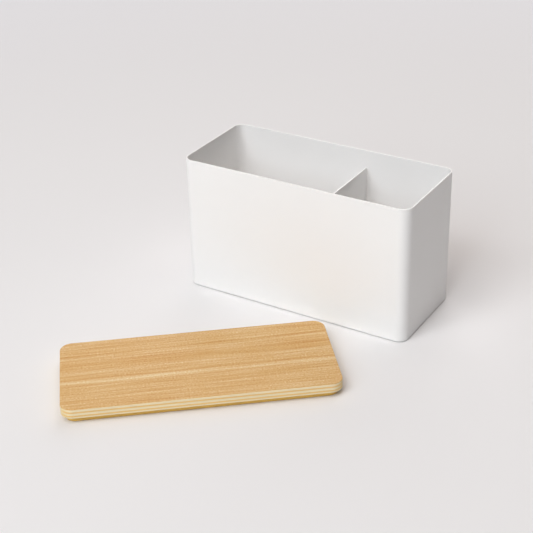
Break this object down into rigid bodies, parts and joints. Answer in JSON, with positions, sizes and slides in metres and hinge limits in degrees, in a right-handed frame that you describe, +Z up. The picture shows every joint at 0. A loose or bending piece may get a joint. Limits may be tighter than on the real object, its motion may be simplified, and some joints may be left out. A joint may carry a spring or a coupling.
{
  "type": "desk organizer with lift-off lid",
  "caption": "Open rectangular steel storage box with round corners, a loose magnetic divider and a lift-off plywood lid with a locating panel, which lies in front of the box.",
  "frame": {"origin": "on the surface the box stands on, under the middle of the box", "axes": "+X along the box's length to the right, +Y from the front to the back, +Z up"},
  "size_m": [0.2824, 0.3833, 0.149],
  "materials": {
    "powder_coat": "white satin powder coat",
    "foot_pad": "grey foam rubber, matt",
    "magnet_sheet": "flexible magnet sheet, matt",
    "oak_veneer": "oak veneer, straight grain, matt lacquer",
    "long_ply": "pale ply edge, grain along the lid, sanded",
    "cross_ply": "darker ply edge, grain across the lid, sanded"
  },
  "bodies": {
    "box": {"wall_shell": "powder_coat", "base_plate": "powder_coat", "foot_pad": "foot_pad"},
    "divider": {"divider_plate": "powder_coat", "divider_magnet": "magnet_sheet"},
    "lid": {"lid_face_veneer": "oak_veneer", "lid_ply_1": "long_ply", "lid_ply_2": "cross_ply", "lid_ply_3": "long_ply", "lid_ply_4": "cross_ply", "lid_ply_5": "long_ply", "lid_insert_core": "cross_ply", "lid_insert_veneer": "oak_veneer"}
  },
  "joints": [
    {"name": "divider_slide", "type": "slide", "parent": "box", "child": "divider", "axis": [1, 0, 0], "range_m": [-0.124, 0.093]},
    {"name": "lid_lift", "type": "slide", "parent": "box", "child": "lid", "axis": [0, 0, 1], "range_m": [0, 0.18]}
  ]
}
